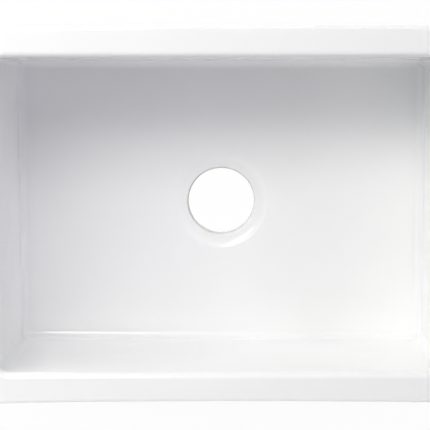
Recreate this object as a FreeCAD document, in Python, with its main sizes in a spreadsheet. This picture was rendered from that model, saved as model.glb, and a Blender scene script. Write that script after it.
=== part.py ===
"""Farmhouse apron front sink: one fireclay bowl on its adjustable steel under-counter support.

Frame: millimetres, +Z up, origin under the centre of the drain at the level of the rails' feet.
The apron faces -Y, the wall side is +Y, and X runs along the apron.
"""

import FreeCAD, Part
import os

import Sketcher

# Driving sizes, in millimetres. The bowl comes first, then the support under it.
SIZES = [
    ("bowl_width", 610.0),
    ("bowl_length", 457.0),
    ("bowl_height", 232.0),
    ("floor_thickness", 27.0),
    ("side_wall", 32.0),
    ("apron_wall", 39.0),
    ("back_wall", 37.5),
    ("apron_hollow", 3.0),
    ("back_bulge", 1.5),
    ("outer_corner", 16.0),
    ("rim_outer_round", 5.0),
    ("rim_inner_round", 8.0),
    ("base_round", 6.0),
    ("floor_round", 12.0),
    ("floor_corner", 1.0),
    ("drain_diameter", 90.0),
    ("drain_edge_round", 4.0),
    ("seat_ledge", 5.0),
    ("seat_diameter", 126.0),
    ("seat_depth", 3.0),
    ("seat_lip_round", 4.0),
    ("floor_fall", 2.5),
    ("fall_reach", 170.0),
    ("relief_diameter", 130.0),
    ("relief_depth", 4.0),
    ("cabinet_gap", 19.0),
    ("rail_leg", 40.0),
    ("rail_thickness", 4.0),
    ("rail_root", 4.0),
    ("rail_toe", 2.0),
    ("rail_length", 400.0),
    ("screw_hole", 6.5),
    ("screw_height", 16.0),
    ("inner_screw_spacing", 120.0),
    ("outer_screw_spacing", 340.0),
    ("bar_spacing", 250.0),
    ("bar_width", 40.0),
    ("bar_height", 25.0),
    ("bar_wall", 2.5),
    ("bar_corner", 3.5),
    ("bar_end_gap", 8.0),
    ("bolt_diameter", 10.0),
    ("bolt_inset", 26.0),
    ("bolt_point_diameter", 7.0),
    ("bolt_point_length", 4.0),
    ("bolt_chamfer", 0.8),
    ("head_flats", 16.0),
    ("head_height", 6.4),
    ("crown_slope", 0.5),
    ("thread_clearance", 0.06),
    ("point_clearance", 0.1),
    ("rail_hole_clearance", 0.5),
    ("weld_nut_flats", 17.0),
    ("weld_nut_height", 8.0),
    ("lock_nut_flats", 16.0),
    ("lock_nut_height", 5.0),
    ("washer_diameter", 20.0),
    ("washer_thickness", 2.0),
    ("washer_clearance", 0.3),
    ("travel_up", 8.0),
    ("travel_down", 6.0),
    ("travel_spare", 1.0),
    ("pad_length", 70.0),
    ("pad_width", 34.0),
    ("pad_thickness", 3.0),
    ("pad_corner", 4.0),
    ("pad_inset", 105.0),
    ("cap_thickness", 2.5),
    ("cap_spare", 2.0),
    ("cap_wall", 2.0),
    ("cap_clearance", 0.2),
]

# Heights and places worked out from the driving sizes, as formulas of the sheet's own names.
CABINET_FACE = "(Sizes.bowl_width / 2 + Sizes.cabinet_gap)"
RAIL_TOP = "Sizes.rail_leg"
WASHER_TOP = f"({RAIL_TOP} + Sizes.washer_thickness)"
LOCK_NUT_TOP = f"({WASHER_TOP} + Sizes.lock_nut_height)"
BAR_BASE = f"({LOCK_NUT_TOP} + Sizes.travel_down + Sizes.travel_spare)"
BAR_TOP = f"({BAR_BASE} + Sizes.bar_height)"
BOWL_BASE = f"({BAR_TOP} + Sizes.pad_thickness)"
WELD_NUT_BASE = "(Sizes.rail_leg - Sizes.rail_thickness - Sizes.weld_nut_height)"
HEAD_TOP = f"({WELD_NUT_BASE} - Sizes.travel_up - Sizes.travel_spare)"
BOLT_X = f"({CABINET_FACE} - Sizes.bolt_inset)"
BOLT_Y = "(Sizes.bar_spacing / 2)"
BAR_HALF = f"({CABINET_FACE} - Sizes.bar_end_gap - Sizes.cap_thickness)"
PAD_X = "(Sizes.bowl_width / 2 - Sizes.pad_inset)"
CAP_INSERT = f"({BAR_HALF} - {BOLT_X} - Sizes.bolt_point_diameter / 2 - Sizes.cap_spare)"
FLOOR = "Sizes.floor_thickness"
SEAT = f"({FLOOR} - Sizes.floor_fall - Sizes.seat_depth)"
NUT_BORE = "(Sizes.bolt_diameter + 2 * Sizes.thread_clearance)"
HEX_CORNER = "0.57735026919"  # half a hexagon's corner width, over its width across flats

SIDES = (("left", -1), ("right", 1))
ENDS = (("front", -1), ("rear", 1))
EPSILON = 1e-6
SAME = 1e-3  # places closer than this, in millimetres, count as one
OVER = "1"  # how far a cutting sketch reaches past the face that it cuts

doc = FreeCAD.newDocument("ApronSink")
sheet = doc.addObject("Spreadsheet::Sheet", "Sizes")
for row, (alias, value) in enumerate(SIZES, start=1):
    sheet.set(f"A{row}", alias)
    sheet.set(f"B{row}", str(value))
    sheet.setAlias(f"B{row}", alias)
doc.recompute()


def number(formula):
    """The value of a formula of the sheet's sizes, in millimetres."""
    found = sheet.evalExpression(formula.replace("Sizes.", ""))
    return float(getattr(found, "Value", found))


# ---------------------------------------------------------------- sketch and body helpers


def new_body(name):
    body = doc.addObject("PartDesign::Body", name)
    body.Label = name
    doc.recompute()
    return body


def plane(body, role):
    return next(f for f in body.Origin.OriginFeatures if f.Role == role)


def new_sketch(body, name, role, offset="0"):
    """A sketch on one of the body's own planes, moved along that plane's normal by a formula."""
    sketch = body.newObject("Sketcher::SketchObject", name)
    sketch.AttachmentSupport = [(plane(body, role), "")]
    sketch.MapMode = "FlatFace"
    sketch.setExpression("AttachmentOffset.Base.z", offset)
    doc.recompute()
    return sketch


def tie(sketch, kind, places, formula):
    """Add one dimension to a sketch and bind it to a formula."""
    index = sketch.addConstraint(Sketcher.Constraint(kind, *places, number(formula)))
    sketch.setExpression(f"Constraints[{index}]", formula)


def pin(sketch, geometry, point, across, along):
    """Hold one point of a sketch at two formulas, measured from the sketch's origin."""
    for kind, axis, formula in (("DistanceX", -2, across), ("DistanceY", -1, along)):
        value = number(formula)
        if abs(value) < EPSILON:
            sketch.addConstraint(Sketcher.Constraint("PointOnObject", geometry, point, axis))
        elif value > 0:
            tie(sketch, kind, (-1, 1, geometry, point), formula)
        else:
            tie(sketch, kind, (geometry, point, -1, 1), f"-({formula})")


def polygon(sketch, corners):
    """Straight lines round a list of corners, each a pair of formulas."""
    spots = [FreeCAD.Vector(number(a), number(b), 0) for a, b in corners]
    first = sketch.GeometryCount
    count = len(spots)
    for index in range(count):
        line = Part.LineSegment(spots[index], spots[(index + 1) % count])
        sketch.addGeometry(line, False)
    for index in range(count):
        after = first + (index + 1) % count
        sketch.addConstraint(Sketcher.Constraint("Coincident", first + index, 2, after, 1))
    for index, (across, along) in enumerate(corners):
        pin(sketch, first + index, 1, across, along)


def rectangle(sketch, width, depth):
    left, right = f"-({width}) / 2", f"({width}) / 2"
    low, high = f"-({depth}) / 2", f"({depth}) / 2"
    polygon(sketch, [(left, low), (right, low), (right, high), (left, high)])


def circle(sketch, diameter, across="0", along="0"):
    centre = FreeCAD.Vector(number(across), number(along), 0)
    up = FreeCAD.Vector(0, 0, 1)
    index = sketch.addGeometry(Part.Circle(centre, up, number(diameter) / 2), False)
    pin(sketch, index, 3, across, along)
    tie(sketch, "Diameter", (index,), diameter)


def hexagon(sketch, flats):
    """A regular hexagon with two of its flats along the sketch's second axis."""
    corner = f"({flats}) * {HEX_CORNER}"
    half = f"({flats}) / 2"
    polygon(
        sketch,
        [
            (half, f"-({corner}) / 2"),
            (half, f"({corner}) / 2"),
            ("0", corner),
            (f"-({half})", f"({corner}) / 2"),
            (f"-({half})", f"-({corner}) / 2"),
            ("0", f"-({corner})"),
        ],
    )


def pad(body, sketch, length, midplane=False, backwards=False):
    feature = body.newObject("PartDesign::Pad", f"{sketch.Name}Pad")
    feature.Profile = sketch
    feature.setExpression("Length", length)
    feature.Midplane = midplane
    feature.Reversed = backwards
    doc.recompute()
    return feature


def cut(body, sketch, length, backwards=False):
    """Cut a sketch into the body, and make sure that the cut took something away."""
    before = body.Shape.Volume
    feature = body.newObject("PartDesign::Pocket", f"{sketch.Name}Pocket")
    feature.Profile = sketch
    if length is None:
        feature.Type = "ThroughAll"
        feature.Midplane = True
    else:
        feature.setExpression("Length", length)
        feature.Reversed = backwards
    doc.recompute()
    if body.Shape.Volume > before - EPSILON:
        raise RuntimeError(f"{feature.Name} cut nothing")
    return feature


def turned_cut(body, sketch):
    """Cut a half section round the body's own Z axis."""
    before = body.Shape.Volume
    feature = body.newObject("PartDesign::Groove", f"{sketch.Name}Groove")
    feature.Profile = sketch
    feature.ReferenceAxis = (sketch, ["V_Axis"])
    feature.Angle = 360
    doc.recompute()
    if body.Shape.Volume > before - EPSILON:
        raise RuntimeError(f"{feature.Name} cut nothing")
    return feature


def dress(body, kind, name, edges, size):
    """A fillet or chamfer on the edges that a test picks from the body's present shape."""
    chosen = [f"Edge{n}" for n, edge in enumerate(body.Shape.Edges, 1) if edges(edge.BoundBox)]
    if not chosen:
        raise RuntimeError(f"{name} found no edge")
    base = body.Tip
    feature = body.newObject(f"PartDesign::{kind}", name)
    feature.Base = (base, chosen)
    feature.setExpression("Radius" if kind == "Fillet" else "Size", size)
    doc.recompute()
    return feature


def near(a, b):
    return abs(a - b) < SAME


def level(formula):
    """A test for edges that lie flat at one height."""
    height = number(formula)
    return lambda box: near(box.ZMin, height) and near(box.ZMax, height)


def parallel(box, axis):
    """True for a straight edge that runs along one axis."""
    spans = {"x": box.XLength, "y": box.YLength, "z": box.ZLength}
    return spans.pop(axis) > SAME and max(spans.values()) < SAME


def upright(box):
    return parallel(box, "z")


def lengthwise(box):
    return parallel(box, "x")


def rail_edges(*spots):
    """A test for edges along a rail at one of some places in its section."""
    places = [(number(across), number(up)) for across, up in spots]

    def test(box):
        found = any(near(box.XMin, x) and near(box.ZMin, z) for x, z in places)
        return found and parallel(box, "y")

    return test


def place(shape, across="0", along="0", up="0", turn=0):
    shape.Placement = FreeCAD.Placement(
        FreeCAD.Vector(), FreeCAD.Rotation(FreeCAD.Vector(0, 0, 1), turn)
    )
    shape.setExpression("Placement.Base.x", across)
    shape.setExpression("Placement.Base.y", along)
    shape.setExpression("Placement.Base.z", up)
    doc.recompute()
    return shape


# ---------------------------------------------------------------- the fireclay bowl


def bowl_outline(sketch):
    """Outer plan: straight sides, an apron hollowed along its length and a back that bulges."""
    half = "Sizes.bowl_width / 2"
    front = "-Sizes.bowl_length / 2"
    back = "Sizes.bowl_length / 2 - Sizes.back_bulge"
    corners = [(f"-{half}", front), (half, front), (half, back), (f"-{half}", back)]
    spots = [FreeCAD.Vector(number(a), number(b), 0) for a, b in corners]
    crowns = (
        FreeCAD.Vector(0, number(f"{front} + Sizes.apron_hollow"), 0),
        FreeCAD.Vector(0, number("Sizes.bowl_length / 2"), 0),
    )
    edges = (
        Part.Arc(spots[0], crowns[0], spots[1]),
        Part.LineSegment(spots[1], spots[2]),
        Part.Arc(spots[2], crowns[1], spots[3]),
        Part.LineSegment(spots[3], spots[0]),
    )
    for edge in edges:
        sketch.addGeometry(edge, False)
    # The hollow apron's arc runs backwards, so its own start lies at the right-hand corner.
    joints = ((0, 2, 3, 2), (0, 1, 1, 1), (1, 2, 2, 1), (2, 2, 3, 1))
    for joint in joints:
        sketch.addConstraint(Sketcher.Constraint("Coincident", *joint))
    for geometry, point, corner in ((3, 2, 0), (1, 1, 1), (1, 2, 2), (3, 1, 3)):
        pin(sketch, geometry, point, *corners[corner])
    for geometry, sag in ((0, "Sizes.apron_hollow"), (2, "Sizes.back_bulge")):
        tie(sketch, "Radius", (geometry,), f"(({half}) ^ 2 + {sag} ^ 2) / (2 * {sag})")


def drain_section(sketch):
    """Half section of the drain: a flat ledge, the dished strainer seat, then the floor's fall."""
    ledge_edge = "(Sizes.drain_diameter / 2 + Sizes.seat_ledge)"
    seat_edge = "(Sizes.seat_diameter / 2)"
    rim = f"({SEAT} + Sizes.seat_depth)"
    above = f"({FLOOR} + {OVER})"
    corners = [
        ("0", above),
        ("0", SEAT),
        (ledge_edge, SEAT),
        (seat_edge, rim),
        ("Sizes.fall_reach", FLOOR),
        ("Sizes.fall_reach", above),
    ]
    spots = [FreeCAD.Vector(number(a), number(b), 0) for a, b in corners]
    # The seat's arc is level at its inner end and hollow, the fall's at its outer end and crowned.
    arcs = {}
    for geometry, run, height in (
        (2, f"({seat_edge} - {ledge_edge})", "Sizes.seat_depth"),
        (3, f"(Sizes.fall_reach - {seat_edge})", "Sizes.floor_fall"),
    ):
        radius = f"(({run} ^ 2 + {height} ^ 2) / (2 * {height}))"
        start, end = spots[geometry], spots[geometry + 1]
        half = number(run) / 2
        rise = number(radius) - (number(radius) ** 2 - half**2) ** 0.5
        middle_y = start.y + rise if geometry == 2 else end.y - rise
        middle = FreeCAD.Vector((start.x + end.x) / 2, middle_y, 0)
        arcs[geometry] = (Part.Arc(start, middle, end), radius)
    for index in range(6):
        if index in arcs:
            sketch.addGeometry(arcs[index][0], False)
        else:
            sketch.addGeometry(Part.LineSegment(spots[index], spots[(index + 1) % 6]), False)
    # The crowned arc is stored from its outer end inwards.
    joints = ((0, 2, 1, 1), (1, 2, 2, 1), (2, 2, 3, 2), (3, 1, 4, 1), (4, 2, 5, 1), (5, 2, 0, 1))
    for joint in joints:
        sketch.addConstraint(Sketcher.Constraint("Coincident", *joint))
    for geometry in (0, 1, 2, 4, 5):
        pin(sketch, geometry, 1, *corners[geometry])
    pin(sketch, 2, 2, *corners[3])
    for geometry, (_, radius) in arcs.items():
        tie(sketch, "Radius", (geometry,), radius)


def make_bowl():
    body = new_body("sink_bowl")
    height = "Sizes.bowl_height"

    outline = new_sketch(body, "BowlOutline", "XY_Plane")
    bowl_outline(outline)
    pad(body, outline, height)
    dress(body, "Fillet", "OuterCorners", upright, "Sizes.outer_corner")
    dress(body, "Fillet", "RimOuterRound", level(height), "Sizes.rim_outer_round")
    dress(body, "Fillet", "BaseRound", level("0"), "Sizes.base_round")

    cavity = new_sketch(body, "BowlCavity", "XY_Plane", height)
    half = "Sizes.bowl_width / 2 - Sizes.side_wall"
    front = "-(Sizes.bowl_length / 2 - Sizes.apron_wall)"
    back = "Sizes.bowl_length / 2 - Sizes.back_wall"
    polygon(cavity, [(f"-({half})", front), (half, front), (half, back), (f"-({half})", back)])
    cut(body, cavity, f"{height} - {FLOOR}")

    edge_x = number(half)

    def cavity_corner(box):
        return upright(box) and near(abs(box.XMin), edge_x)

    def rim_opening(box):
        inside = box.YMin > number(front) - SAME and box.YMax < number(back) + SAME
        return inside and level(height)(box)

    upright_round = "Sizes.floor_round + Sizes.floor_corner"
    dress(body, "Fillet", "InnerCorners", cavity_corner, upright_round)
    dress(body, "Fillet", "FloorRound", level(FLOOR), "Sizes.floor_round")
    dress(body, "Fillet", "RimInnerRound", rim_opening, "Sizes.rim_inner_round")

    dish = new_sketch(body, "DrainDish", "XZ_Plane")
    drain_section(dish)
    turned_cut(body, dish)
    lip = f"({SEAT} + Sizes.seat_depth)"
    dress(body, "Fillet", "SeatLip", level(lip), "Sizes.seat_lip_round")

    hole = new_sketch(body, "DrainHole", "XY_Plane")
    circle(hole, "Sizes.drain_diameter")
    cut(body, hole, None)
    radius = number("Sizes.drain_diameter") / 2

    def hole_edge(box):
        return level(SEAT)(box) and near(box.XMax, radius)

    dress(body, "Fillet", "DrainEdge", hole_edge, "Sizes.drain_edge_round")

    relief = new_sketch(body, "NutRelief", "XY_Plane")
    circle(relief, "Sizes.relief_diameter")
    cut(body, relief, "Sizes.relief_depth", backwards=True)
    return place(body, up=BOWL_BASE)


# ---------------------------------------------------------------- the steel support


def make_rail(name, side):
    """Angle rail: one leg hangs against the cabinet side, the other is the shelf for the bolts."""
    body = new_body(f"rail_{name}")
    leg, wall = "Sizes.rail_leg", "Sizes.rail_thickness"
    section = new_sketch(body, f"RailSection{name}", "XZ_Plane")
    inside = f"({leg} - {wall})"
    corners = [("0", "0"), ("0", leg), (f"-{leg}", leg), (f"-{leg}", inside)]
    corners += [(f"-{wall}", inside), (f"-{wall}", "0")]
    polygon(section, corners)
    pad(body, section, "Sizes.rail_length", midplane=True)

    root = rail_edges((f"-{wall}", inside))
    toes = rail_edges((f"-{wall}", "0"), (f"-{leg}", inside))
    dress(body, "Fillet", f"RailRoot{name}", root, "Sizes.rail_root")
    dress(body, "Fillet", f"RailToes{name}", toes, "Sizes.rail_toe")

    bolts = new_sketch(body, f"RailBoltHoles{name}", "XY_Plane", leg)
    for _, end in ENDS:
        hole = "Sizes.bolt_diameter + 2 * Sizes.rail_hole_clearance"
        circle(bolts, hole, "-Sizes.bolt_inset", f"{end} * {BOLT_Y}")
    cut(body, bolts, f"{wall} + {OVER}")

    screws = new_sketch(body, f"RailScrewHoles{name}", "YZ_Plane")
    for spacing in ("Sizes.inner_screw_spacing", "Sizes.outer_screw_spacing"):
        for _, end in ENDS:
            circle(screws, "Sizes.screw_hole", f"{end} * {spacing} / 2", "Sizes.screw_height")
    cut(body, screws, f"{wall} + {OVER}")
    return place(body, across=f"{side} * {CABINET_FACE}", turn=0 if side > 0 else 180)


def make_bar(name, end):
    """Cross bar: square-cornered tube whose lower wall sits on two bolt points."""
    body = new_body(f"bar_{name}")
    outer = new_sketch(body, f"BarOuter{name}", "YZ_Plane")
    rectangle(outer, "Sizes.bar_width", "Sizes.bar_height")
    pad(body, outer, f"2 * {BAR_HALF}", midplane=True)
    dress(body, "Fillet", f"BarCorners{name}", lengthwise, "Sizes.bar_corner")
    hollow = new_sketch(body, f"BarHollow{name}", "YZ_Plane")
    wall = "2 * Sizes.bar_wall"
    rectangle(hollow, f"Sizes.bar_width - {wall}", f"Sizes.bar_height - {wall}")
    cut(body, hollow, None)

    def hollow_edges(box):
        inside = number("Sizes.bar_width / 2 - Sizes.bar_wall")
        return lengthwise(box) and near(abs(box.YMin), inside)

    inner = "Sizes.bar_corner - Sizes.bar_wall"
    dress(body, "Fillet", f"BarHollowCorners{name}", hollow_edges, inner)
    holes = new_sketch(body, f"BarPointHoles{name}", "XY_Plane", "-Sizes.bar_height / 2")
    for _, side in SIDES:
        wide = "Sizes.bolt_point_diameter + 2 * Sizes.point_clearance"
        circle(holes, wide, f"{side} * {BOLT_X}", "0")
    cut(body, holes, f"Sizes.bar_wall + {OVER}", backwards=True)
    return place(body, along=f"{end} * {BOLT_Y}", up=f"{BAR_BASE} + Sizes.bar_height / 2")


def make_cap(name, side, end):
    """Plastic plug: a plate over the bar's open end and a hollow insert inside the tube."""
    body = new_body(f"end_cap_{name}")
    plate = new_sketch(body, f"CapPlate{name}", "YZ_Plane")
    rectangle(plate, "Sizes.bar_width", "Sizes.bar_height")
    pad(body, plate, "Sizes.cap_thickness")
    dress(body, "Fillet", f"CapCorners{name}", lengthwise, "Sizes.bar_corner")
    slack = "2 * (Sizes.bar_wall + Sizes.cap_clearance)"
    insert = new_sketch(body, f"CapInsert{name}", "YZ_Plane")
    rectangle(insert, f"Sizes.bar_width - {slack}", f"Sizes.bar_height - {slack}")
    pad(body, insert, CAP_INSERT, backwards=True)

    def insert_edges(box):
        return lengthwise(box) and box.XMin < -SAME

    inner = "Sizes.bar_corner - Sizes.bar_wall"
    dress(body, "Fillet", f"CapInsertCorners{name}", insert_edges, inner)
    core = new_sketch(body, f"CapCore{name}", "YZ_Plane", f"-{CAP_INSERT}")
    slack = "2 * (Sizes.bar_wall + Sizes.cap_clearance + Sizes.cap_wall)"
    rectangle(core, f"Sizes.bar_width - {slack}", f"Sizes.bar_height - {slack}")
    cut(body, core, CAP_INSERT, backwards=True)
    height = f"{BAR_BASE} + Sizes.bar_height / 2"
    turn = 0 if side > 0 else 180
    return place(body, f"{side} * {BAR_HALF}", f"{end} * {BOLT_Y}", height, turn)


def make_pad(name, side, end):
    """Rubber pad between a cross bar and the underside of the bowl."""
    body = new_body(f"pad_{name}")
    outline = new_sketch(body, f"PadOutline{name}", "XY_Plane")
    rectangle(outline, "Sizes.pad_length", "Sizes.pad_width")
    pad(body, outline, "Sizes.pad_thickness")
    dress(body, "Fillet", f"PadCorners{name}", upright, "Sizes.pad_corner")
    return place(body, f"{side} * {PAD_X}", f"{end} * {BOLT_Y}", BAR_TOP)


def crown(body, name, flats, top, bottom):
    """Turn the corners off a hexagon at its top or bottom face, or at both."""
    reach = f"({flats}) * {HEX_CORNER}"
    for key, height, way in (("Top", top, -1), ("Bottom", bottom, 1)):
        if height is None:
            continue
        section = new_sketch(body, f"{name}{key}", "XZ_Plane")
        outside = f"{reach} + {OVER}"
        drop = f"{way} * ({reach} - ({flats}) / 2 + {OVER}) * Sizes.crown_slope"
        inner = (f"({flats}) / 2", height)
        polygon(section, [inner, (outside, height), (outside, f"{height} + {drop}")])
        turned_cut(body, section)


def make_bolt(name, side, end):
    """Levelling bolt, head down: its shoulder carries the bar and its point keeps the bar in place."""
    body = new_body(f"levelling_bolt_{name}")
    head = new_sketch(body, f"BoltHead{name}", "XY_Plane")
    hexagon(head, "Sizes.head_flats")
    pad(body, head, "Sizes.head_height", backwards=True)
    crown(body, f"BoltCrown{name}", "Sizes.head_flats", None, "-Sizes.head_height")
    shank = new_sketch(body, f"BoltShank{name}", "XY_Plane")
    circle(shank, "Sizes.bolt_diameter")
    shoulder = f"({BAR_BASE} - {HEAD_TOP})"
    pad(body, shank, shoulder)
    point = new_sketch(body, f"BoltPoint{name}", "XY_Plane", shoulder)
    circle(point, "Sizes.bolt_point_diameter")
    pad(body, point, "Sizes.bolt_point_length")
    tip = f"({shoulder} + Sizes.bolt_point_length)"
    dress(body, "Chamfer", f"BoltTip{name}", level(tip), "Sizes.bolt_chamfer")
    return place(body, f"{side} * {BOLT_X}", f"{end} * {BOLT_Y}", HEAD_TOP)


def make_ring(name, profile, bore, height):
    """A nut or washer: an outline sketched by the caller's function, with a round bore."""
    body = new_body(name)
    outline = new_sketch(body, f"{name}_outline", "XY_Plane")
    profile(outline)
    pad(body, outline, height)
    hole = new_sketch(body, f"{name}_bore", "XY_Plane")
    circle(hole, bore)
    cut(body, hole, None)
    return body


def make_set(label, make_one, height):
    """Four equal small parts, one at each levelling bolt, kept together as one named set."""
    members = []
    for side_name, side in SIDES:
        for end_name, end in ENDS:
            one = make_one(f"{label}_{end_name}_{side_name}")
            members.append(place(one, f"{side} * {BOLT_X}", f"{end} * {BOLT_Y}", height))
    group = doc.addObject("Part::Compound", label)
    group.Label = label
    group.Links = members
    doc.recompute()
    return group


def one_weld_nut(name):
    def square(sketch):
        rectangle(sketch, "Sizes.weld_nut_flats", "Sizes.weld_nut_flats")

    return make_ring(name, square, NUT_BORE, "Sizes.weld_nut_height")


def one_lock_nut(name):
    def outline(sketch):
        hexagon(sketch, "Sizes.lock_nut_flats")

    body = make_ring(name, outline, NUT_BORE, "Sizes.lock_nut_height")
    crown(body, f"{name}_crown", "Sizes.lock_nut_flats", "Sizes.lock_nut_height", "0")
    return body


def one_washer(name):
    def disc(sketch):
        circle(sketch, "Sizes.washer_diameter")

    bore = "Sizes.bolt_diameter + 2 * Sizes.washer_clearance"
    return make_ring(name, disc, bore, "Sizes.washer_thickness")


# ---------------------------------------------------------------- the whole sink


def make_parts():
    parts = [make_bowl()]
    parts += [make_rail(name, side) for name, side in SIDES]
    parts += [make_bar(name, end) for name, end in ENDS]
    for end_name, end in ENDS:
        for side_name, side in SIDES:
            corner = f"{end_name}_{side_name}"
            parts.append(make_cap(corner, side, end))
            parts.append(make_pad(corner, side, end))
            parts.append(make_bolt(corner, side, end))
    parts.append(make_set("weld_nuts", one_weld_nut, WELD_NUT_BASE))
    parts.append(make_set("washers", one_washer, RAIL_TOP))
    parts.append(make_set("lock_nuts", one_lock_nut, WASHER_TOP))
    return parts


def check(parts):
    """Stop before anything is written if a feature failed or a shape isn't sound."""
    for thing in doc.Objects:
        if "Invalid" in thing.State or "Error" in thing.State:
            raise RuntimeError(f"{thing.Name} failed: {thing.State}")
    for part in parts:
        if part.Shape.isNull() or not part.Shape.isValid() or not part.Shape.Solids:
            raise RuntimeError(f"{part.Label} has no sound shape")


parts = make_parts()
doc.recompute()
check(parts)
os.makedirs("parts", exist_ok=True)
for part in parts:
    part.Shape.exportStep(os.path.join("parts", f"{part.Label}.step"))
    box = part.Shape.BoundBox
    print(
        f"{part.Label:28s} solids {len(part.Shape.Solids)} volume {part.Shape.Volume / 1000:9.2f} cm3"
        f"  x {box.XMin:7.1f} {box.XMax:7.1f}  y {box.YMin:7.1f} {box.YMax:7.1f}"
        f"  z {box.ZMin:6.1f} {box.ZMax:6.1f}"
    )
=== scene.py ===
"""Looks of the apron front sink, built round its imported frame. Metres, +Z up, apron towards -Y."""

import math

import bmesh
import bpy
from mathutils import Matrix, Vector


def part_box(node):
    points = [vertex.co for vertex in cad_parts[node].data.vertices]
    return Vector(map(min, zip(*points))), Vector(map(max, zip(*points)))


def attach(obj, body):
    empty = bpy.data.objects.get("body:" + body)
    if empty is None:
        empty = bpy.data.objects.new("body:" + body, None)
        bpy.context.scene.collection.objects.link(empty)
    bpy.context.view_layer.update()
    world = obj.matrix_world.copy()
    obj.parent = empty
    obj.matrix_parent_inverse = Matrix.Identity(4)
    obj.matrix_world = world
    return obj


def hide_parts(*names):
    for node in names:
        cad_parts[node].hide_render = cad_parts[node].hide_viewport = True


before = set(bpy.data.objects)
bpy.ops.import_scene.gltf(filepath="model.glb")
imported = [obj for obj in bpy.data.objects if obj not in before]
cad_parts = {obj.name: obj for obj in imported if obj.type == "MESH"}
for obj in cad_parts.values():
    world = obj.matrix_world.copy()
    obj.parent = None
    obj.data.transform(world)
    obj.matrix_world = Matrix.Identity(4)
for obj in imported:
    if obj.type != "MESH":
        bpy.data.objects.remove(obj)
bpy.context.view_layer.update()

scene = bpy.context.scene
scene.view_settings.view_transform = "Standard"
scene.cycles.diffuse_bounces = 8  # light passes between the white walls many times

bowl_low, bowl_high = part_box("sink_bowl")
CORNERS = [f"{end}_{side}" for end in ("front", "rear") for side in ("left", "right")]


# ---------------------------------------------------------------- materials

GLAZE_LINE = 0.0028  # above the bowl's base, to which the ragged edge adds its own height
RAGGED_HEIGHT = 0.004
EDGE_BLUR = 0.0004  # half the width over which glaze gives way to clay
DRAIN_RING_SPAN = (0.0455, 0.0472)  # from the drain's axis: where the darker ring, thin glaze and painted shade, is full, and where it ends
PAINTED_SHADE_SIDE = (-0.87, 0.5, 0.0)  # towards the side of the drain's edge that faces away from the lamps, where the ring has most painted shade
DRAIN_RING_RAGGED = 0.0003
DRAIN_REACH = 0.045  # from the drain's axis to its edge
# the ring's colour: thin glaze over clay, darkened further by painted shade
THIN_GLAZE_AND_SHADE = (0.47, 0.43, 0.39)


class Nodes:
    """A material's or world's node tree, with short ways to add nodes and join them."""

    def __init__(self, name, world=None):
        self.owner = world or bpy.data.materials.new(name)
        self.owner.use_nodes = True
        self.tree = self.owner.node_tree
        self.tree.nodes.clear()
        self.output = self.add("ShaderNodeOutputWorld" if world else "ShaderNodeOutputMaterial")
        coordinates = self.add("ShaderNodeTexCoord")
        self.place = coordinates.outputs["Object"]
        self.generated = coordinates.outputs["Generated"]

    def add(self, kind, inputs=None, **settings):
        node = self.tree.nodes.new(kind)
        for key, value in settings.items():
            setattr(node, key, value)
        for key, value in (inputs or {}).items():
            self.feed(node.inputs[key], value)
        return node

    def feed(self, socket, value):
        if isinstance(value, bpy.types.NodeSocket):
            self.tree.links.new(value, socket)
        else:
            socket.default_value = value

    def noise(self, scale, detail=2.0, roughness=0.5, stretch=(1.0, 1.0, 1.0)):
        mapping = self.add("ShaderNodeMapping", {"Vector": self.place, "Scale": stretch})
        inputs = {"Vector": mapping.outputs["Vector"], "Scale": scale}
        inputs.update({"Detail": detail, "Roughness": roughness})
        return self.add("ShaderNodeTexNoise", inputs).outputs["Fac"]

    def cells(self, scale, output="Color"):
        node = self.add("ShaderNodeTexVoronoi", {"Vector": self.place, "Scale": scale})
        return node.outputs[output]

    def span(self, value, low, high, to_low=0.0, to_high=1.0):
        inputs = {"Value": value, "From Min": low, "From Max": high}
        inputs.update({"To Min": to_low, "To Max": to_high})
        return self.add("ShaderNodeMapRange", inputs, clamp=True).outputs["Result"]

    def calculate(self, operation, first, second):
        return self.add("ShaderNodeMath", {0: first, 1: second}, operation=operation).outputs[0]

    def vector(self, operation, *vectors):
        return self.add("ShaderNodeVectorMath", dict(enumerate(vectors)), operation=operation)

    def mix(self, share, first, second):
        node = self.add("ShaderNodeMix", data_type="RGBA")
        self.feed(node.inputs["Factor"], share)
        for key, value in (("A", first), ("B", second)):
            socket = next(s for s in node.inputs if s.name == key and s.type == "RGBA")
            self.feed(socket, value)
        return next(s for s in node.outputs if s.type == "RGBA")

    def bump(self, height, depth, below=None):
        inputs = {"Height": height, "Distance": depth}
        if below is not None:
            inputs["Normal"] = below
        return self.add("ShaderNodeBump", inputs).outputs["Normal"]

    def seen_in_mirror(self, path):
        """1 for a glossy ray that no dull surface has scattered, so that it adds no light."""
        direct = self.calculate("LESS_THAN", path["Diffuse Depth"], 0.5)
        return self.calculate("MULTIPLY", path["Is Glossy Ray"], direct)

    def finish(self, shader):
        self.feed(self.output.inputs["Surface"], shader)
        return self.owner


def colour(red, green, blue):
    return (red, green, blue, 1.0)


def principled(nodes, base, roughness, normal, metallic=0.0, ior=1.5):
    inputs = {"Base Color": base, "Roughness": roughness, "Normal": normal}
    inputs.update({"Metallic": metallic, "IOR": ior})
    return nodes.add("ShaderNodeBsdfPrincipled", inputs).outputs[0]


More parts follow.
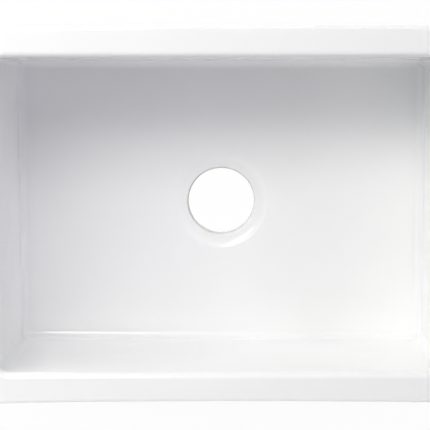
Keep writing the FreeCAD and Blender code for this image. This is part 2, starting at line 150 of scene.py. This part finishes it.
def glazed_fireclay():
    """White glaze over buff clay, with the clay left bare underneath and low in the drain hole."""
    n = Nodes("glazed_fireclay")
    tone = n.span(n.noise(7.0, 3.0), 0.35, 0.65)
    white = n.mix(tone, colour(0.912, 0.915, 0.923), colour(0.925, 0.928, 0.934))
    # Round the drain a darker ring: partly thin glaze over the clay, partly painted shade, heaviest
    # where the edge faces away from the lamps.
    level = n.vector("MULTIPLY", n.place, (1.0, 1.0, 0.0)).outputs["Vector"]
    radius = n.vector("LENGTH", level).outputs["Value"]
    wobble = n.span(n.noise(150.0, 2.0), 0.3, 0.7, -DRAIN_RING_RAGGED, DRAIN_RING_RAGGED)
    drain_ring = n.span(n.calculate("ADD", radius, wobble), *DRAIN_RING_SPAN, 1.0, 0.0)
    side = n.vector("DOT_PRODUCT", n.place, PAINTED_SHADE_SIDE).outputs["Value"]
    # more painted shade on the side whose edge faces away from the lamps
    shade_share = n.span(side, -DRAIN_REACH, DRAIN_REACH, 0.15, 1.0)
    white = n.mix(n.calculate("MULTIPLY", drain_ring, shade_share), white, colour(*THIN_GLAZE_AND_SHADE))
    wave = n.bump(n.noise(16.0, 1.0), 0.00035)
    skin = n.bump(n.noise(260.0, 2.0), 0.000012, wave)
    gloss = n.span(n.noise(30.0, 3.0), 0.3, 0.7, 0.045, 0.085)
    glaze = principled(n, white, gloss, skin)

    grain = n.noise(900.0, 4.0, 0.7)
    patch = n.noise(25.0, 3.0)
    buff = n.mix(n.span(patch, 0.35, 0.65), colour(0.62, 0.53, 0.42), colour(0.70, 0.62, 0.51))
    speck = n.span(n.cells(420.0, "Distance"), 0.08, 0.16, 0.7, 0.0)
    clay_colour = n.mix(speck, buff, colour(0.42, 0.33, 0.25))
    pores = n.bump(grain, 0.0003)
    clay = principled(n, clay_colour, n.span(grain, 0.3, 0.7, 0.78, 0.95), pores)

    height = n.add("ShaderNodeSeparateXYZ", {"Vector": n.place}).outputs["Z"]
    ragged = n.calculate("MULTIPLY", n.noise(70.0, 3.0), RAGGED_HEIGHT)
    edge = n.calculate("SUBTRACT", height, ragged)
    line = bowl_low.z + GLAZE_LINE
    glazed = n.span(edge, line - EDGE_BLUR, line + EDGE_BLUR)
    mixed = n.add("ShaderNodeMixShader", {0: glazed, 1: clay, 2: glaze})
    return n.finish(mixed.outputs[0])


def zinc_spangle(name, tone):
    """Galvanised sheet: flat zinc crystals a few millimetres wide, each with its own grey."""
    n = Nodes(name)
    crystal = n.add("ShaderNodeSeparateColor", {"Color": n.cells(140.0)}).outputs[0]
    cloud = n.noise(18.0, 3.0)
    dark = colour(*(c * 0.82 for c in tone))
    light = colour(*(min(1.0, c * 1.10) for c in tone))
    base = n.mix(n.calculate("MULTIPLY", crystal, 0.7), dark, light)
    rough = n.calculate("ADD", n.span(crystal, 0, 1, 0.30, 0.44), n.span(cloud, 0.3, 0.7, 0.0, 0.1))
    scratch = n.noise(60.0, 3.0, 0.6, (1.0, 14.0, 14.0))
    normal = n.bump(crystal, 0.00002)
    normal = n.bump(scratch, 0.00003, normal)
    return n.finish(principled(n, base, rough, normal, metallic=1.0))


def plated_steel(name, tone, stretch=(1.0, 1.0, 1.0)):
    """Steel with a fine plated grain, which a tube's drawing stretches into lines."""
    n = Nodes(name)
    lines = n.noise(1400.0, 3.0, 0.6, stretch)
    cloud = n.noise(22.0, 4.0, 0.6)
    dark = colour(*(c * 0.85 for c in tone))
    light = colour(*(min(1.0, c * 1.08) for c in tone))
    base = n.mix(n.span(cloud, 0.3, 0.7), dark, light)
    rough = n.span(lines, 0.3, 0.7, 0.24, 0.42)
    normal = n.bump(lines, 0.00002)
    normal = n.bump(cloud, 0.0002, normal)
    return n.finish(principled(n, base, rough, normal, metallic=1.0))


def moulded_plastic():
    n = Nodes("moulded_plastic")
    grain = n.cells(2200.0, "Distance")
    cloud = n.noise(40.0, 3.0)
    base = n.mix(n.span(cloud, 0.3, 0.7), colour(0.018, 0.018, 0.019), colour(0.032, 0.032, 0.033))
    rough = n.span(grain, 0.0, 0.6, 0.42, 0.62)
    return n.finish(principled(n, base, rough, n.bump(grain, 0.00006), ior=1.49))


def weld_bead_metal():
    """Weld metal: bright ridges with brown and blue heat tint."""
    n = Nodes("weld_metal")
    cloud = n.noise(300.0, 3.0, 0.6)
    tint = n.mix(n.span(cloud, 0.35, 0.5), colour(0.20, 0.17, 0.15), colour(0.33, 0.32, 0.33))
    base = n.mix(n.span(cloud, 0.5, 0.7), tint, colour(0.24, 0.27, 0.36))
    rough = n.span(cloud, 0.3, 0.7, 0.35, 0.6)
    return n.finish(principled(n, base, rough, n.bump(cloud, 0.0001), metallic=1.0))


def rubber():
    n = Nodes("rubber")
    grain = n.noise(1500.0, 4.0, 0.7)
    bloom = n.noise(35.0, 4.0, 0.6)
    base = n.mix(n.span(bloom, 0.35, 0.7), colour(0.022, 0.022, 0.022), colour(0.055, 0.054, 0.052))
    rough = n.span(grain, 0.3, 0.7, 0.72, 0.92)
    return n.finish(principled(n, base, rough, n.bump(grain, 0.00008), ior=1.52))


def dress(node_name, material):
    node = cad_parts[node_name]
    for slot in node.material_slots:
        slot.material = material


glaze = glazed_fireclay()
rail_zinc = zinc_spangle("rail_zinc", (0.60, 0.61, 0.62))
bar_zinc = plated_steel("bar_zinc", (0.66, 0.67, 0.68), (0.02, 1.0, 1.0))
bolt_zinc = plated_steel("bolt_zinc", (0.72, 0.73, 0.75))
weld_metal = weld_bead_metal()
nut_steel = plated_steel("nut_steel", (0.42, 0.41, 0.40))
black_plastic = moulded_plastic()
black_rubber = rubber()

dress("sink_bowl", glaze)
for name in ("rail_left", "rail_right"):
    dress(name, rail_zinc)
for name in ("bar_front", "bar_rear"):
    dress(name, bar_zinc)
for name in ("washers", "lock_nuts"):
    dress(name, bolt_zinc)
dress("weld_nuts", nut_steel)
for corner in CORNERS:
    dress(f"end_cap_{corner}", black_plastic)


# ---------------------------------------------------------------- detailed pieces


def new_piece(name, bm, material, body, smooth_below=40.0):
    """Turn a bmesh into a piece that rides on a body. Edges sharper than the angle stay sharp."""
    bmesh.ops.remove_doubles(bm, verts=bm.verts, dist=1e-7)
    bmesh.ops.dissolve_degenerate(bm, edges=bm.edges, dist=1e-7)
    bmesh.ops.recalc_face_normals(bm, faces=bm.faces)
    mesh = bpy.data.meshes.new(name)
    bm.to_mesh(mesh)
    bm.free()
    mesh.shade_smooth()
    mesh.set_sharp_from_angle(angle=math.radians(smooth_below))
    mesh.materials.append(material)
    piece = bpy.data.objects.new(name, mesh)
    scene.collection.objects.link(piece)
    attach(piece, body)
    return piece


def bridge(bm, first, second):
    """Quads between two closed rings with as many points."""
    count = len(first)
    for index in range(count):
        after = (index + 1) % count
        bm.faces.new((first[index], first[after], second[after], second[index]))


ROUND = 48  # points round a bolt, so that a hexagon's corners fall on points
THREAD_PITCH = 0.0015
THREAD_MAJOR = 0.00496
THREAD_MINOR = 0.00410
# Over one turn, as a share of the pitch and a radius: the root, its end, the crest and its end.
ROOT, CREST = (0.0, 0.2), (0.54, 0.66)
THREAD_STEPS = [(at, THREAD_MINOR) for at in ROOT] + [(at, THREAD_MAJOR) for at in CREST]
THREAD_CHAMFER = 0.0003  # the height over which the last turn comes up to the crest's radius
HEAD_FLAT = 0.008  # from the middle of the head to a flat
HEAD_RING = 0.93  # where the head's face has its inner ring, as a share of that
HEAD_CROWN = 0.5  # how far the head's corners are turned off, for each metre outwards
POINT_RADIUS = 0.0035
COLLAR = 0.0008  # the thread stops this far below the shoulder, and the tip is this much thinner
BOLT_LEVELS = {"head_top": 0.0064, "shoulder": 0.0414, "chamfer": 0.0446, "tip": 0.0454}


def thread_rows(bm, centre, start, end):
    """A helical surface whose crests and roots follow the thread, cut flat at both ends."""
    rows = []
    steps = len(THREAD_STEPS)
    turns = math.ceil((end - start) / THREAD_PITCH) + 2
    for index in range(steps * (turns + 1)):
        share, radius = THREAD_STEPS[index % steps]
        row = []
        for column in range(ROUND):
            rise = index // steps + share + column / ROUND - 1
            height = start + THREAD_PITCH * rise
            inside = start < height < end
            reach = radius if inside else THREAD_MINOR
            height = min(max(height, start), end)
            angle = 2 * math.pi * column / ROUND
            spot = Vector((reach * math.cos(angle), reach * math.sin(angle), height))
            row.append(bm.verts.new(centre + spot))
        rows.append(row)
    for index in range(len(rows) - 1 - steps):
        for column in range(ROUND):
            last = column == ROUND - 1
            near_row, far_row = (index + steps, index + steps + 1) if last else (index, index + 1)
            after = 0 if last else column + 1
            corners = (rows[index][column], rows[near_row][after], rows[far_row][after])
            bm.faces.new((*corners, rows[index + 1][column]))


def make_bolt(corner):
    """Levelling bolt with a real thread: head down, a turned point at the top."""
    node = f"levelling_bolt_{corner}"
    low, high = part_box(node)
    centre = Vector(((low.x + high.x) / 2, (low.y + high.y) / 2, low.z))
    bm = bmesh.new()

    def ring(height, reach):
        points = []
        for column in range(ROUND):
            angle = 2 * math.pi * column / ROUND
            radius = reach(angle) if callable(reach) else reach
            rise = height(radius) if callable(height) else height
            spot = Vector((radius * math.cos(angle), radius * math.sin(angle), rise))
            points.append(bm.verts.new(centre + spot))
        return points

    def hexagon(angle):
        sixth = math.pi / 3
        return HEAD_FLAT / math.cos((angle + sixth / 2) % sixth - sixth / 2)

    def crown(radius):
        return (radius - HEAD_FLAT) * HEAD_CROWN

    head_top = BOLT_LEVELS["head_top"]
    shoulder = BOLT_LEVELS["shoulder"]
    thread_end = shoulder - COLLAR
    lower = [ring(0.0, HEAD_FLAT * HEAD_RING), ring(0.0, HEAD_FLAT), ring(crown, hexagon)]
    lower += [ring(head_top, hexagon), ring(head_top, THREAD_MINOR)]
    upper = [ring(thread_end, THREAD_MINOR), ring(thread_end + THREAD_CHAMFER, THREAD_MAJOR)]
    upper += [ring(shoulder, THREAD_MAJOR), ring(shoulder, POINT_RADIUS)]
    upper += [ring(BOLT_LEVELS["chamfer"], POINT_RADIUS)]
    upper += [ring(BOLT_LEVELS["tip"], POINT_RADIUS - COLLAR)]
    for rings in (lower, upper):
        for first, second in zip(rings, rings[1:]):
            bridge(bm, first, second)
    bm.faces.new(lower[0])
    bm.faces.new(upper[-1])
    thread_rows(bm, centre, head_top, thread_end)
    piece = new_piece(f"bolt_{corner}", bm, bolt_zinc, f"bolt_{corner}")
    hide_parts(node)


NUT_HALF = 0.0085
BEAD_LEG = 0.0032
BEAD_HALF = 0.0062  # half its length
BEAD_ROOT = 0.0003  # how far it reaches into the corner
BEAD_RIPPLES = 9
BEAD_STATIONS, BEAD_ARC = 72, 9  # points along the bead, and round it
RIPPLE_DEPTH = 0.10  # as a share of the leg, and so is the next
BEAD_HOLLOW = 0.12
BEAD_THIN = 1e-5  # what is left of the leg at both ends


def make_weld_beads():
    """Short fillet welds along two sides of each square nut, under the rail's shelf."""
    bm = bmesh.new()
    nuts_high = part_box("weld_nuts")[1]
    bolt_x, bolt_y, shelf = nuts_high.x - NUT_HALF, nuts_high.y - NUT_HALF, nuts_high.z
    for side in (-1, 1):
        for end in (-1, 1):
            for face in (-1, 1):
                middle = Vector((side * bolt_x, end * bolt_y + face * NUT_HALF, shelf))
                weld_bead(bm, middle, face)
    new_piece("weld_beads", bm, weld_metal, "support_rails", 60.0)


def weld_bead(bm, middle, face):
    """One bead: a quarter round in section, rippled along its length and thin at both ends."""
    loops = []
    for station in range(BEAD_STATIONS + 1):
        along = -1 + 2 * station / BEAD_STATIONS
        ripple = (station / BEAD_STATIONS * BEAD_RIPPLES) % 1.0
        taper = math.sqrt(max(0.0, 1 - abs(along) ** 5))
        reach = BEAD_LEG * taper * (1.0 - RIPPLE_DEPTH * ripple) + BEAD_THIN
        root = Vector((along * BEAD_HALF, -face * BEAD_ROOT, BEAD_ROOT))
        loop = [bm.verts.new(middle + root)]
        for step in range(BEAD_ARC):
            turn = math.pi / 2 * step / (BEAD_ARC - 1)
            bulge = reach * (1 - BEAD_HOLLOW * math.sin(2 * turn))
            out, down = bulge * math.sin(turn), bulge * math.cos(turn)
            bow = BEAD_HOLLOW * BEAD_LEG * (ripple - 0.5) * math.sin(2 * turn)
            spot = Vector((along * BEAD_HALF + bow, face * out, -down))
            loop.append(bm.verts.new(middle + spot))
        loops.append(loop)
    for first, second in zip(loops, loops[1:]):
        bridge(bm, first, second)
    bm.faces.new(loops[0])
    bm.faces.new(loops[-1])


PAD_CORNER = 0.004
PAD_CORNER_STEPS = 8
PAD_GROOVES = 7
PAD_GROOVE_STEPS = 8
PAD_GROOVE_DEPTH = 0.0005
PAD_EDGE = 0.0003  # taken off along all edges
PAD_END = 0.998  # where the pad is full again behind the end's edge, as a share of its half length


def make_pad(corner):
    """Rubber pad with fine grooves along both faces and rounded corners."""
    node = f"pad_{corner}"
    low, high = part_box(node)
    centre, half = (low + high) / 2, (high - low) / 2
    bm = bmesh.new()
    steps = PAD_GROOVES * PAD_GROOVE_STEPS
    profile = []
    for step in range(steps + 1):
        across = -1 + 2 * step / steps
        wave = math.cos(math.pi * PAD_GROOVES * across)
        groove = PAD_GROOVE_DEPTH * max(0.0, wave) ** 0.5
        edge = PAD_EDGE if step in (0, steps) else 0.0
        profile.append((across * half.y, half.z - max(groove, edge)))
    outline = profile + [(across, -rise) for across, rise in reversed(profile)]
    loops = []
    stations = [-1.0, -PAD_END]
    for step in range(1, PAD_CORNER_STEPS + 1):
        turn = math.pi / 2 * step / PAD_CORNER_STEPS
        stations.append(-1 + PAD_CORNER / half.x * (1 - math.cos(turn)))
    stations += [-station for station in reversed(stations)]
    for station in stations:
        along = station * half.x
        into_corner = max(0.0, abs(along) - (half.x - PAD_CORNER))
        width = half.y - PAD_CORNER + math.sqrt(max(0.0, PAD_CORNER**2 - into_corner**2))
        shrink = PAD_EDGE if abs(station) == 1.0 else 0.0
        loop = []
        for across, rise in outline:
            side = min(max(across, -width), width)
            top = math.copysign(min(abs(rise), half.z - shrink), rise)
            loop.append(bm.verts.new(centre + Vector((along, side, top))))
        loops.append(loop)
    for first, second in zip(loops, loops[1:]):
        bridge(bm, first, second)
    bm.faces.new(loops[0])
    bm.faces.new(loops[-1])
    piece = new_piece(f"rubber_{corner}", bm, black_rubber, "bowl_carriage")
    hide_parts(node)


for corner in CORNERS:
    make_bolt(corner)
    make_pad(corner)
make_weld_beads()


# ---------------------------------------------------------------- camera, floor and light


CAMERA_PLACE = (-0.0084, 0.1659, 1.4726)  # its height is above the rim
CAMERA_TILT, CAMERA_TURN = math.radians(-6.284), math.radians(-0.092)
CAMERA_LENS, CAMERA_SENSOR = 103.52, 36.0  # millimetres


def make_camera():
    """Above the back half of the bowl, looking down and tilted a little towards the apron."""
    data = bpy.data.cameras.new("camera")
    data.sensor_width = CAMERA_SENSOR
    data.lens = CAMERA_LENS
    data.clip_start, data.clip_end = 0.05, 50.0
    camera = bpy.data.objects.new("camera", data)
    camera.location = Vector(CAMERA_PLACE) + Vector((0.0, 0.0, bowl_high.z))
    camera.rotation_euler = (CAMERA_TILT, 0.0, CAMERA_TURN)
    scene.collection.objects.link(camera)
    scene.camera = camera


FLOOR_HALF = 30.0
FLOOR_DROP = 0.0002  # below the sink's lowest point
FLOOR_GLOW = 0.95  # the share of the floor's look that is plain white, whatever falls on it
FLOOR_GLOW_REACH = (1.0, 2.5)  # where it begins to rise, and where it is all
PAINTED_LIGHT_UNDER_DRAIN = 0.04  # painted light on the floor, added where light falls through the drain hole
UNDER_DRAIN_REACH = (0.08, 0.16)


def make_floor():
    """A white floor, bright to the camera and in reflections, which still takes the shadow."""
    mesh = bpy.data.meshes.new("floor")
    signs = ((-1, -1), (1, -1), (1, 1), (-1, 1))
    corners = [(FLOOR_HALF * across, FLOOR_HALF * along, 0) for across, along in signs]
    mesh.from_pydata(corners, [], [(0, 1, 2, 3)])
    floor = bpy.data.objects.new("floor", mesh)
    floor.location.z = -FLOOR_DROP
    scene.collection.objects.link(floor)
    n = Nodes("floor")
    path = n.add("ShaderNodeLightPath").outputs
    seen = n.calculate("MAXIMUM", path["Is Camera Ray"], n.seen_in_mirror(path))
    seen = n.calculate("MAXIMUM", seen, path["Is Transmission Ray"])
    radius = n.vector("LENGTH", n.place).outputs["Value"]
    share = n.span(radius, *FLOOR_GLOW_REACH, FLOOR_GLOW, 1.0)
    # painted light: a brighter patch on the floor under the drain hole
    share = n.calculate("ADD", share, n.span(radius, *UNDER_DRAIN_REACH, PAINTED_LIGHT_UNDER_DRAIN, 0.0))
    lit = n.add("ShaderNodeBsdfDiffuse", {"Color": colour(0.9, 0.9, 0.9)}).outputs[0]
    glow = n.add("ShaderNodeEmission", {"Color": colour(1, 1, 1), "Strength": 1.0}).outputs[0]
    top = n.add("ShaderNodeMixShader", {0: n.calculate("MULTIPLY", seen, share), 1: lit, 2: glow})
    back = n.add("ShaderNodeNewGeometry").outputs["Backfacing"]
    clear = n.add("ShaderNodeBsdfTransparent").outputs[0]
    both = n.add("ShaderNodeMixShader", {0: back, 1: top.outputs[0], 2: clear}).outputs[0]
    mesh.materials.append(n.finish(both))


WORLD_LIGHT = (0.02, 0.02, 0.023)  # what the white room gives the sink
CEILING_SPAN = (0.84, 0.95)  # the sine of the height at which the ceiling starts and is full
CEILING_LIGHT = 0.1

FAR, NEAR, LOW = 4.0, 1.8, 2.0  # how far the lamps stand from the middle of the bowl's rim
SOFTBOX, PANEL, STRIP = (1.4, 1.4), (0.9, 0.9), (1.6, 0.2)
WHITE = (1.00, 1.00, 1.00)
WARM = (1.00, 0.98, 0.93)
CREAM = (0.98, 0.98, 0.88)
COOL = (0.82, 0.79, 1.00)

# Lamps: name, bearing from the right-hand side and height in degrees, distance, size, watts and
# colour. Each looks at the middle of the rim. The two low ones are there for the outside.
LAMPS = [
    ("lamp_low_left", 156, 15, FAR, SOFTBOX, 35.5, CREAM),
    ("lamp_back", 90, 55, FAR, SOFTBOX, 34.5, WARM),
    ("lamp_back_left", 134, 55, FAR, SOFTBOX, 23.5, WARM),
    ("lamp_back_right", 45, 35, FAR, PANEL, 25.0, WHITE),
    ("lamp_right", 0, 35, FAR, SOFTBOX, 13.0, COOL),
    ("lamp_front_right", 315, 60, FAR, SOFTBOX, 7.5, COOL),
    ("lamp_near_left", 150, 32, NEAR, PANEL, 11.5, WHITE),
    ("lamp_near_front_left", 225, 32, NEAR, PANEL, 3.5, WHITE),
    ("lamp_near_front", 270, 32, NEAR, PANEL, 8.0, WHITE),
    ("lamp_near_back", 112, 52, NEAR, PANEL, 5.5, WHITE),
    ("lamp_low_front", 270, -5, LOW, STRIP, 9.0, WHITE),
    ("lamp_low_right", 0, -5, LOW, STRIP, 8.0, WHITE),
]
MIRRORED = ("lamp_back_right",)  # the glaze shows this one, and the others only light it

# A long window in the ceiling, turned about the vertical. It makes the glaze's highlights alone.
WINDOW_PLACE = (-0.85, 1.85, 4.5)
WINDOW_SIZE = (0.8, 2.5)
WINDOW_TURN = math.radians(-22)
WINDOW_POWER = 38.0


def make_world():
    """The room: white to the camera, to reflections and through gaps, and a soft grey light.

    Its ceiling is dark to reflections, as over a photographer's table."""
    world = bpy.data.worlds.new("room")
    scene.world = world
    n = Nodes("room", world)
    path = n.add("ShaderNodeLightPath").outputs
    up = n.add("ShaderNodeSeparateXYZ", {"Vector": n.generated}).outputs["Z"]
    ceiling = n.span(up, *CEILING_SPAN, 1.0, CEILING_LIGHT)
    light = n.add("ShaderNodeBackground", {"Color": colour(*WORLD_LIGHT)}).outputs[0]
    plain = {"Color": colour(1, 1, 1)}
    mirrored = n.add("ShaderNodeBackground", {**plain, "Strength": ceiling}).outputs[0]
    white = n.add("ShaderNodeBackground", plain).outputs[0]
    mirror = n.seen_in_mirror(path)
    room = n.add("ShaderNodeMixShader", {0: mirror, 1: light, 2: mirrored}).outputs[0]
    seen = n.calculate("MAXIMUM", path["Is Camera Ray"], path["Is Transmission Ray"])
    n.finish(n.add("ShaderNodeMixShader", {0: seen, 1: room, 2: white}).outputs[0])


def add_area_light(name, place, size, power, tint):
    data = bpy.data.lights.new(name, "AREA")
    data.shape = "RECTANGLE"
    data.size, data.size_y = size
    data.energy = power
    data.color = tint
    light = bpy.data.objects.new(name, data)
    light.location = place
    light.visible_camera = False
    scene.collection.objects.link(light)
    return light


def make_lamp(name, bearing, height, distance, size, power, tint):
    bearing, height = math.radians(bearing), math.radians(height)
    level = math.cos(height)
    away = Vector((level * math.cos(bearing), level * math.sin(bearing), math.sin(height)))
    middle = Vector((0.0, 0.0, bowl_high.z))
    lamp = add_area_light(name, middle + distance * away, size, power, tint)
    lamp.rotation_euler = away.to_track_quat("Z", "Y").to_euler()
    lamp.visible_glossy = name in MIRRORED


def make_window():
    window = add_area_light("window", WINDOW_PLACE, WINDOW_SIZE, WINDOW_POWER, WHITE)
    window.rotation_euler = (0.0, 0.0, WINDOW_TURN)
    window.visible_diffuse = False


make_camera()
make_floor()
make_world()
for lamp in LAMPS:
    make_lamp(*lamp)
make_window()
